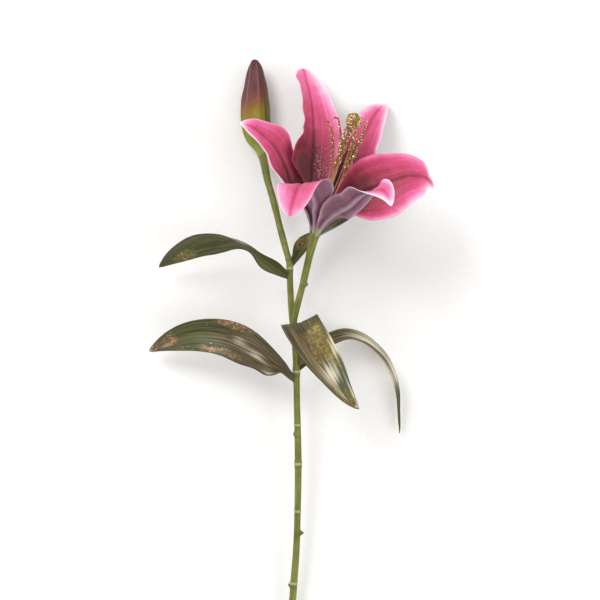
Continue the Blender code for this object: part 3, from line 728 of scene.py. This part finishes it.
def leafSkin(name):
    # Lily leaf: waxed satin skin, dark olive with fine parallel veins, patches of rubbed gold and copper
    # foil, and painted highlight streaks
    made, add, shader, place, foil, paintedHighlight, copper, brown = startMaterial(
        name, {"Coat Weight": 0.1, "Coat Roughness": 0.25, "Specular IOR Level": 0.35},
        "foil", "paintedHighlight", "copper", "brown")
    # veins 1 to 1.4 mm apart; long patches where the foil was laid; crumbs 2.2 mm across at their torn edges
    along = add("ShaderNodeMapping", {"Vector": place["UV"], "Scale": (20, 2.4, 1)})
    veins = add("ShaderNodeTexNoise", {"Vector": along, "Scale": 1.0, "Detail": 4.0, "Roughness": 0.6})
    laidOn = add("ShaderNodeMapping", {"Vector": place["UV"], "Scale": (3.5, 6, 1)})
    patches = add("ShaderNodeTexNoise", {"Vector": laidOn, "Scale": 1.0, "Detail": 5.0, "Roughness": 0.65,
                                         "Distortion": 0.8})
    crumbs = add("ShaderNodeTexNoise", {"Vector": place["Object"], "Scale": 1 / (2.2 * mm), "Detail": 4.0,
                                        "Roughness": 0.6})
    streaks = add("ShaderNodeMapping", {"Vector": place["UV"], "Scale": (13, 1.5, 1), "Location": (3, 5, 0)})
    wide = add("ShaderNodeTexNoise", {"Vector": streaks, "Scale": 1.0, "Detail": 5.0, "Roughness": 0.7,
                                      "Distortion": 0.4})
    green = add("ShaderNodeValToRGB", {"Fac": veins}, stops=(
        (0.35, "#2a2e0f"), (0.5, "#40451a"), (0.65, "#60602d")))
    earth = add("ShaderNodeValToRGB", {"Fac": veins}, stops=(
        (0.35, "#2f2615"), (0.5, "#4f4128"), (0.65, "#7f6e4c")))
    tan = add("ShaderNodeMath", {0: patches, 1: brown}, operation="ADD")
    tanned = add("ShaderNodeMapRange", {"Value": tan, "From Min": 0.82, "From Max": 1.12})
    base = add("ShaderNodeMix", {"Factor": tanned, "A": green, "B": earth}, data_type="RGBA")
    gold = add("ShaderNodeValToRGB", {"Fac": crumbs}, stops=(
        (0.34, "#675a2f"), (0.5, "#7b6d3d"), (0.66, "#978852")))
    red = add("ShaderNodeValToRGB", {"Fac": crumbs}, stops=(
        (0.34, "#5f4230"), (0.5, "#86634a"), (0.66, "#b39a7c")))
    metal = add("ShaderNodeMix", {"Factor": copper, "A": gold, "B": red}, data_type="RGBA")
    # foil lies where the mask and the two noises agree
    worn = add("ShaderNodeMath", {0: crumbs, 1: 0.16, 2: patches}, operation="MULTIPLY_ADD")
    level = add("ShaderNodeMath", {0: foil, 1: 0.55, 2: worn}, operation="MULTIPLY_ADD")
    leafed = add("ShaderNodeMapRange", {"Value": level, "From Min": 0.80, "From Max": 1.02})
    skin = add("ShaderNodeMix", {"Factor": leafed, "A": base, "B": metal}, data_type="RGBA")
    # painted highlight: pale streaks painted into the colour, standing in for light shining off the waxed
    # skin
    streak = add("ShaderNodeMath", {0: paintedHighlight, 1: 0.34, 2: wide}, operation="MULTIPLY_ADD")
    highlightStreaks = add("ShaderNodeMapRange", {"Value": streak, "From Min": 0.64, "From Max": 0.84})
    shown = add("ShaderNodeMath", {0: highlightStreaks, 1: paintedHighlight}, operation="MULTIPLY")
    # the painted highlight colour, a pale cream, mixed in over the streaks
    pale = add("ShaderNodeMix", {"Factor": shown, "A": skin, "B": hexColour("#dfd3ba")}, data_type="RGBA")
    shine = add("ShaderNodeMath", {0: leafed, 1: 0.6}, operation="MULTIPLY")
    dull = add("ShaderNodeMapRange", {"Value": crumbs, "To Min": 0.28, "To Max": 0.55})
    height = add("ShaderNodeMath", {0: veins, 1: leafed}, operation="ADD")
    bump = add("ShaderNodeBump", {"Height": height, "Strength": 0.6, "Distance": 0.35 * mm})
    setInputs(shader, {"Base Color": pale, "Metallic": shine, "Roughness": dull, "Normal": bump})
    return made


def foilFlake():
    # Metal leaf: loose crumbs of beaten gold-coloured foil, bright, varying in colour and in roughness
    made, add, shader, place = startMaterial("beatenGoldFoil", {"Metallic": 1.0})
    vary = add("ShaderNodeTexNoise", {"Vector": place["Object"], "Scale": 1 / (4 * mm), "Detail": 3.0})
    colour = add("ShaderNodeValToRGB", {"Fac": vary}, stops=(
        (0.36, "#9a5f3a"), (0.5, "#b5964e"), (0.64, "#e3d19a")))
    dull = add("ShaderNodeMapRange", {"Value": vary, "To Min": 0.2, "To Max": 0.5})
    setInputs(shader, {"Base Color": colour, "Roughness": dull})
    return made


leafSkins = [leafSkin("waxedLeafWithFoil"), leafSkin("waxedLeafUnderside")]
flakeBeds = []
for index, (name, look) in enumerate(leaves.items()):
    leaf = {**leafForm, **look}
    grid, t, u, reach = bladeGrid(leaf, leaf["spine"], leaf["outward"], leafMesh["rows"], leafMesh["columns"])
    t = t[:, None]
    x = u * reach
    pull = np.array(leaf["foot"], float) - np.array(leaf["spine"][0], float)
    grid += pull[None, None] * (1 - smoothStep(0.0, 0.07, t))[..., None]
    normal = surfaceNormal(grid)
    grid = nudged(grid, t, u, leaf["nudges"])
    size, waves, start = leaf["ruffle"]
    free = band(0.1, 0.3, 0.9, 1.0, t)
    wave = np.sin(2 * pi * (waves * t + start + 0.2 * np.sign(u)))
    grid = grid + normal * (size * wave * u**2 * free)[..., None]
    along = band(0.0, 0.1, 0.92, 1.0, t)
    groove = -0.45 * bell(x, 0.8) * along
    rib = 0.7 * bell(x, 1.0) * along
    veins = 0.06 * np.cos(2 * pi * u * 6) * along
    wall = leafMesh["rim"] + (leafMesh["middle"] - leafMesh["rim"]) * (1 - u**2) * (1 - 0.4 * t) + 0 * x
    inside = wall / 2 + groove + veins
    outside = wall / 2 + rib + veins
    values = {"copper": leaf["copper"] + 0 * x}
    # the painted highlight is laid out in patches, like the foil and the brown
    for kind in ("foil", "paintedHighlight", "brown"):
        values[kind] = np.clip(sum(amount * bell(t - place, length) * bell(u - side, breadth)
                                   for place, side, length, breadth, amount in leaf[kind]), 0, 1)
    keep(closedSheet(name + "_blade", grid, inside, outside, leafSkins, values, t, u, index), "leaf", name)
    shown = -1 if name == "leaf_front" else 1
    bed = grid + normal * (inside[..., None] if shown > 0 else -outside[..., None])
    flakeBeds.append((bed[:, ::shown], (values["foil"] * free)[:, ::shown]))

# the sizes are radii; the flakes are coarser than the finest real ones, so that they show
flakes = {
    "Per square metre": 3.2e4, "Smallest": 0.12 * mm, "Largest": 0.55 * mm, "Height": 1.0, "Tumble": 0.25,
    "Seed": 11,
}
keep(strew("foilFlakes", flakeBeds, "flake", foilFlake(), flakes), "leaf")
print("cut lily: leaves")

# Stem and stalks

stemForm = {"sides": 28, "cap": 0.05}
stems = {
    "main_stem": {
        "route": [(-7.5, -302, 0), (-4.5, -255.5, 0), (-1, -205.5, 0), (1, -178.5, 0),
                  (2, -148.5, 0), (2.5, -112.5, 0), (1.5, -63, 0), (1, -36, 0),
                  (0, -17, 0), (-2, 0, 0), (-3.5, 21.5, -1), (-4, 42.5, -1)],
        "radii": (2.75, 2.65, 2.6, 2.55, 2.5),
        "rings": 420,
        "slant": 0.8,
        "slantReach": 14,
        # distance from the foot, height, half length, and where it faces (degrees, None all round)
        "knots": [(98, 0.35, 1.4, None), (96.5, 1.7, 1.6, 180), (137, 3.0, 1.5, 5), (153.5, 0.4, 0.9, None),
                  (190, 0.5, 2.2, None), (213, 1.0, 1.6, 180), (220, 0.4, 0.9, None), (223.5, 1.0, 1.8, 60),
                  (52, 0.25, 1.6, None), (53, 0.9, 2.0, 30), (261, 0.5, 3.0, None), (341, 0.5, 2.2, None)],
    },
    "bud_stalk": {
        "route": [(-4, 37, -1), (-4.5, 43, -1), (-7, 52.5, -4), (-11.5, 69.5, -10), (-17, 92, -17.5),
                  (-21.5, 108, -23.5), (-24, 120, -28), (-26.5, 129.5, -31)],
        "radii": (2.2, 2.5, 2.5, 2.6, 2.7, 2.9, 3.4),
        "rings": 150,
        "knots": [(9, 0.3, 1.2, 200), (22, 0.3, 0.7, 60)],
    },
    "flower_stalk": {
        "route": [(-1.4, -10, 1.5), (-0.8, -3, 4.2), (1.5, 8.5, 6), (6, 25.5, 5.5), (9.5, 40.5, 6),
                  (12.5, 53.5, 8.5), (15.5, 65, 13)],
        "radii": (2.0, 2.5, 2.5, 2.6, 2.8, 3.1, 4.2),
        "rings": 170,
        "knots": [(38, 1.5, 1.5, 0)],
    },
}


def stemSkin():
    # Lily stem: smooth green stalk, semi-matt, with fine lengthwise lines, and painted shade, a darker
    # brownish olive, just below the knots
    made, add, shader, place, cut, brown = startMaterial(
        "ribbedGreenStalk", {"Roughness": 0.48, "Specular IOR Level": 0.3}, "pith", "paintedShadeBelowKnot")
    lines, clouds = veinsAndClouds(add, place, (16, 5), 14, (3.0, 3.0))
    both = add("ShaderNodeMath", {0: lines, 1: clouds}, operation="ADD")
    half = add("ShaderNodeMath", {0: both, 1: 0.5}, operation="MULTIPLY")
    colour = add("ShaderNodeValToRGB", {"Fac": half}, stops=(
        (0.33, "#4c5220"), (0.46, "#666a28"), (0.56, "#787a36"), (0.68, "#8a894a")))
    # painted shade: a darker brownish olive just below each knot
    shadedBelowKnots = add("ShaderNodeMix", {"Factor": brown, "A": colour, "B": hexColour("#5d5a2c")},
                  data_type="RGBA")
    pith = add("ShaderNodeMix", {"Factor": cut, "A": shadedBelowKnots, "B": hexColour("#c3c48f")}, data_type="RGBA")
    bump = add("ShaderNodeBump", {"Height": lines, "Strength": 0.45, "Distance": 0.2 * mm})
    setInputs(shader, {"Base Color": pith, "Normal": bump})
    return made


def angleApart(angle, degrees):
    return (angle - radians(degrees) + pi) % (2 * pi) - pi


stalkSkin = stemSkin()
for name, stem in stems.items():
    length = stepLengths(stem["route"]).sum()

    def stemSwell(t, angle, reached, knots=stem["knots"]):
        extra = 0.07 * np.cos(5 * angle + 4 * t) + 0.10 * np.sin(23 * t + 1.3)
        for place, height, half, faces in knots:
            around = 1.0 if faces is None else bell(angleApart(angle, faces), 0.55)
            extra = extra + height * bell(reached - place, half) * around
        return extra

    def shadeBelowKnotTone(share, angle, knots=stem["knots"], length=length):  # painted shade, darker just below a knot
        return np.clip(sum(0.7 * bell(share * length - place + half + 0.6, 1.0)
                           for place, height, half, faces in knots), 0, 1)

    def pithTone(share, angle, knots=stem["knots"], length=length, isCut=name == "main_stem"):
        # pale rings, and the pith where the stem is cut
        rings = sum(0.75 * bell(share * length - place, 0.7)
                    for place, height, half, faces in knots if faces is None)
        return np.maximum(rings, (share <= 0) * isCut)

    piece = tube(name + "_skin", stem["route"], {**stemForm, **stem}, stalkSkin, stemSwell,
                 {"pith": pithTone, "paintedShadeBelowKnot": shadeBelowKnotTone})
    keep(piece, "stem", name)
print("cut lily: stem")

# Bud

bud = {
    "route": [(-26.3, 127.5, -30.5), (-27, 130.5, -31), (-29, 138, -33), (-30.5, 148, -34),
              (-31.5, 160, -34.5), (-31.5, 188, -35), (-32, 203.3, -35.5)],
    "radii": (3.2, 4.6, 8.0, 10.3, 11.2, 11.4, 11.3, 10.8, 9.8, 8.5, 7.1, 5.4, 2.6),
    "seams": (38, 158, 278),  # degrees, where the three outer tepals meet
    "rings": 150,
    "sides": 96,
    "cap": 0.45,
}


def budSkin():
    # Closed lily bud: firm waxy skin, plum above and yellow-green below, olive beside the seams, with painted
    # highlights along the ribs
    made, add, shader, place, ripe, olive, ribHighlight = startMaterial("waxyPlumBud", {
        "Roughness": 0.45, "Specular IOR Level": 0.2, "Coat Weight": 0.04, "Coat Roughness": 0.15,
        "Subsurface Weight": 0.05, "Subsurface Scale": 0.002}, "ripe", "olive", "paintedRibHighlight")
    lines, clouds = veinsAndClouds(add, place, (30, 3), 6, (4.0, 3.0))
    level = add("ShaderNodeMath", {0: mottle(add, lines, clouds, (0.22, 0.18)), 1: ripe}, operation="ADD")
    colour = add("ShaderNodeValToRGB", {"Fac": level}, stops=(
        (0.0, "#9c9f62"), (0.14, "#7d8a38"), (0.28, "#8c7f22"), (0.42, "#845c22"), (0.56, "#70332a"),
        (0.72, "#58242a"), (1.0, "#582c33")))
    dark = add("ShaderNodeMix", {"Factor": olive, "A": colour, "B": hexColour("#54502f")}, data_type="RGBA")
    # painted highlight: the crests of the ribs are mixed towards a pale pink-brown
    ribs = add("ShaderNodeMix", {"Factor": ribHighlight, "A": dark, "B": hexColour("#a8827c")}, data_type="RGBA")
    bump = add("ShaderNodeBump", {"Height": lines, "Strength": 0.4, "Distance": 0.3 * mm})
    setInputs(shader, {"Base Color": ribs, "Normal": bump})
    return made


def budSwell(t, angle, reached):
    shut = band(0.08, 0.25, 0.93, 1.0, t)
    extra = 0 * t * angle
    for seam in bud["seams"]:
        apart = angleApart(angle, seam)
        extra = extra - 0.95 * bell(apart, 0.10) * shut
        rib = angleApart(angle, seam + 60)
        extra = extra + (0.6 * bell(np.abs(rib) - 0.46, 0.13) - 0.3 * bell(rib, 0.25)) * shut
    return extra + 0.12 * np.sin(9 * t * pi) * np.cos(3 * angle)


def oliveSide(share, angle):
    lower = 1 - smoothStep(0.55, 0.85, share)
    seamTone = sum(bell(angleApart(angle, seam), 0.16) for seam in bud["seams"])
    return np.clip(0.75 * bell(angleApart(angle, 4), 0.6) * lower * smoothStep(0.1, 0.2, share)
                   + 0.5 * seamTone * smoothStep(0.15, 0.3, share), 0, 1)


budValues = {
    "ripe": lambda share, angle: np.interp(
        share + 0.05 * np.cos(angle - 2.6), (0, 0.12, 0.3, 0.46, 0.56, 0.7, 1),
        (0, 0.12, 0.22, 0.32, 0.46, 0.68, 0.95)),
    "olive": oliveSide,
    # painted highlight along the crests of the ribs, on the upper half
    "paintedRibHighlight": lambda share, angle: 0.35 * band(0.4, 0.6, 0.92, 1.0, share) * sum(
        bell(np.abs(angleApart(angle, seam + 60)) - 0.46, 0.07) for seam in bud["seams"]),
}
keep(tube("bud_skin", bud["route"], bud, budSkin(), budSwell, budValues), "bud", "bud")
print("cut lily: bud")

# Stamens and pistil

pistil = {
    "route": [(26.5, 97, 21.5), (32.5, 116, 22), (38.5, 133, 26), (43, 146, 30.5), (45, 152, 32)],
    "radii": (0.9, 0.9, 0.9, 1, 1, 1, 1, 1.05, 1.1, 1.15, 1.2, 1.25, 1.3, 1.3, 2.1, 4.9, 4.6),
    "rings": 130,
    "sides": 24,
    "cap": 0.5,
}
thread = {
    "radii": (0.5, 0.45, 0.42, 0.4, 0.42, 0.68, 0.75, 0.6, 0.4),
    "rings": 120,
    "sides": 14,
    "cap": 0.5,
}
stamens = {
    "stamen_left": {
        "azimuth": 170,
        "route": [(23.5, 99, 14), (27.5, 117, 11), (29, 132.5, 9), (27.5, 145.5, 7),
                  (25.0, 151, 6), (23.0, 150.5, 7)],
    },
    "stamen_back_left": {
        "azimuth": 115,
        "route": [(26.5, 100, 15), (31.5, 117, 13), (34.5, 132.5, 8), (34.5, 146, 4),
                  (32.0, 154.2, 2), (29.8, 153.5, 3)],
    },
    "stamen_back_right": {
        "azimuth": 55,
        "route": [(30.5, 99.5, 11), (37.5, 116.5, 9), (43.5, 132.5, 8), (47.5, 145.5, 8), (49.5, 154, 9)],
    },
    "stamen_right": {
        "azimuth": 0,
        "route": [(31.5, 96, 25), (40.5, 113, 30), (47.5, 129.5, 33), (52, 140.5, 35), (54, 147.5, 37)],
    },
    "stamen_front_right": {
        "azimuth": 300,
        "route": [(30.5, 94.5, 26), (37.5, 111.5, 33), (42.5, 126, 39), (45.5, 135, 43), (46, 140, 45)],
    },
    "stamen_front_left": {
        "azimuth": 235,
        "route": [(24, 96, 29), (30, 113, 32), (34.5, 126, 38), (36.5, 135.5, 42), (38, 142, 44)],
    },
}


def filamentSkin():
    # Filament and style: smooth fleshy thread, pink-beige at the foot, brown towards the anther
    made, add, shader, place = startMaterial("fleshyFilament", {
        "Roughness": 0.4, "Subsurface Weight": 0.08, "Subsurface Scale": 0.001})
    height = add("ShaderNodeSeparateXYZ", {"Vector": place["UV"]})
    vary = add("ShaderNodeTexNoise", {"Vector": place["Object"], "Scale": 1 / (2 * mm), "Detail": 3.0})
    shift = add("ShaderNodeMath", {0: vary, 1: 0.4, 2: -0.2}, operation="MULTIPLY_ADD")
    level = add("ShaderNodeMath", {0: height.outputs["Y"], 1: shift}, operation="ADD")
    colour = add("ShaderNodeValToRGB", {"Fac": level}, stops=(
        (0.1, "#b98678"), (0.45, "#b57c66"), (0.62, "#8f6236"), (0.8, "#6e4a25"), (1.0, "#8a6430")))
    bump = add("ShaderNodeBump", {"Height": vary, "Strength": 0.4, "Distance": 0.2 * mm})
    setInputs(shader, {"Base Color": colour, "Normal": bump})
    return made


def glitterGold():
    # Coarse gold glitter: cut metal-coated film, mirror bright on some faces and brown on others
    made, add, shader, place = startMaterial("coarseGoldGlitter", {"Metallic": 1.0, "Roughness": 0.22})
    vary = add("ShaderNodeTexVoronoi", {"Vector": place["Object"], "Scale": 1 / (0.9 * mm)})
    pick = add("ShaderNodeSeparateColor", {"Color": vary.outputs["Color"]})
    colour = add("ShaderNodeValToRGB", {"Fac": pick}, stops=(
        (0.1, "#6f4c22"), (0.35, "#ad8238"), (0.65, "#e0bd72"), (0.9, "#fdf0cc")))
    setInputs(shader, {"Base Color": colour})
    return made


def gritBed(route, radii, share, swell, rings=80, sides=24):  # the surface that the glitter sticks to
    t = np.linspace(0, 1, rings)
    angle = np.linspace(0, 2 * pi, sides + 1)[None, :]
    grid, path, tangents, radius, reached = ringsAlong(route, radii, t, angle, swell)
    end = path[-1] + tangents[-1] * radius[-1].mean() * 0.5
    grid = np.concatenate([grid, end + (grid[-1:] - path[-1]) * 0.1])  # over the top as well
    return grid, np.append(share(t), share(t)[-1])[:, None] + 0 * angle


threadSkin = filamentSkin()
gritBeds = []
for name, stamen in stamens.items():
    foot = [aroundAxis(stamen["azimuth"], flower["stamenRing"], -0.6),
            aroundAxis(stamen["azimuth"], flower["stamenRing"] + 0.8, flower["throatRise"])]
    route = foot + stamen["route"]

    def antherSwell(t, angle, reached):  # two pollen sacs side by side
        return 0.2 * np.cos(2 * angle) * band(0.6, 0.68, 0.92, 1.0, t)

    keep(tube(name + "_thread", route, thread, threadSkin, antherSwell), "stamen", name)
    gritBeds.append(gritBed(route, thread["radii"], lambda t: 0.05 + 0.32 * smoothStep(0.55, 0.66, t),
                            antherSwell))

route = [aroundAxis(0, 0, -0.6), aroundAxis(0, 0, flower["throatRise"])] + pistil["route"]


def stigmaSwell(t, angle, reached):  # three lobes
    return (0.9 * np.cos(3 * angle + 0.5) + 0.35 * np.sin(7 * angle + 40 * t)) * smoothStep(0.88, 0.95, t)


keep(tube("pistil_style", route, pistil, threadSkin, stigmaSwell), "stamen", "pistil")
gritBeds.append(gritBed(route, pistil["radii"], lambda t: 0.06 + 0.34 * smoothStep(0.45, 0.6, t)
                        + 0.6 * smoothStep(0.85, 0.92, t), stigmaSwell))
# the sizes are radii; the grains are coarser than the finest real ones, so that they show
grains = {
    "Per square metre": 1.5e6, "Smallest": 0.18 * mm, "Largest": 0.72 * mm, "Height": 1.0, "Tumble": 1.5,
    "Seed": 23,
}
keep(strew("goldGlitter", gritBeds, "grain", glitterGold(), grains), "stamen")
print("cut lily: stamens and pistil")

# Floor and light, in metres and watts

studio = {
    "board": ((0.3, "#f1f0ee"), (0.7, "#f4f3f1")),
    "reach": 4.0,
    "sky": 0.90,
    "key": (15.0, (-0.9, 1.0, 1.5)),  # above the flower's left
    "fill": (6.0, (1.2, -0.5, 1.1)),
    "aim": (0, 0.05, 0.05),
    "softBox": 0.9,
}


def paintedBoard():
    # Painted board: matt white emulsion with a faint roller texture
    made, add, shader, place = startMaterial("mattPaintedBoard", {"Roughness": 0.85})
    grain = add("ShaderNodeTexNoise", {"Vector": place["Object"], "Scale": 1 / (3 * mm), "Detail": 2.0})
    colour = add("ShaderNodeValToRGB", {"Fac": grain}, stops=studio["board"])
    bump = add("ShaderNodeBump", {"Height": grain, "Strength": 0.1, "Distance": 0.1 * mm})
    setInputs(shader, {"Base Color": colour, "Normal": bump})
    return made


floorMesh = bpy.data.meshes.new("floor")
corners = [(x * studio["reach"], y * studio["reach"], 0) for x, y in ((-1, -1), (1, -1), (1, 1), (-1, 1))]
floorMesh.from_pydata(corners, [], [(0, 1, 2, 3)])
floorMesh.materials.append(paintedBoard())
newObject("floor", floorMesh)

world = bpy.data.worlds.new("softSky")
world.use_nodes = True
setInputs(world.node_tree.nodes["Background"], {"Color": (1, 1, 1, 1), "Strength": studio["sky"]})
bpy.context.scene.world = world
bpy.context.scene.view_settings.view_transform = "Standard"

for name in ("key", "fill"):
    power, place = studio[name]
    light = bpy.data.lights.new(name + "Light", "AREA")
    light.energy, light.size, light.shape = power, studio["softBox"], "DISK"
    lamp = newObject(name + "Light", light)
    lamp.location = place
    lamp.rotation_euler = (Vector(studio["aim"]) - Vector(place)).to_track_quat("-Z", "Y").to_euler()
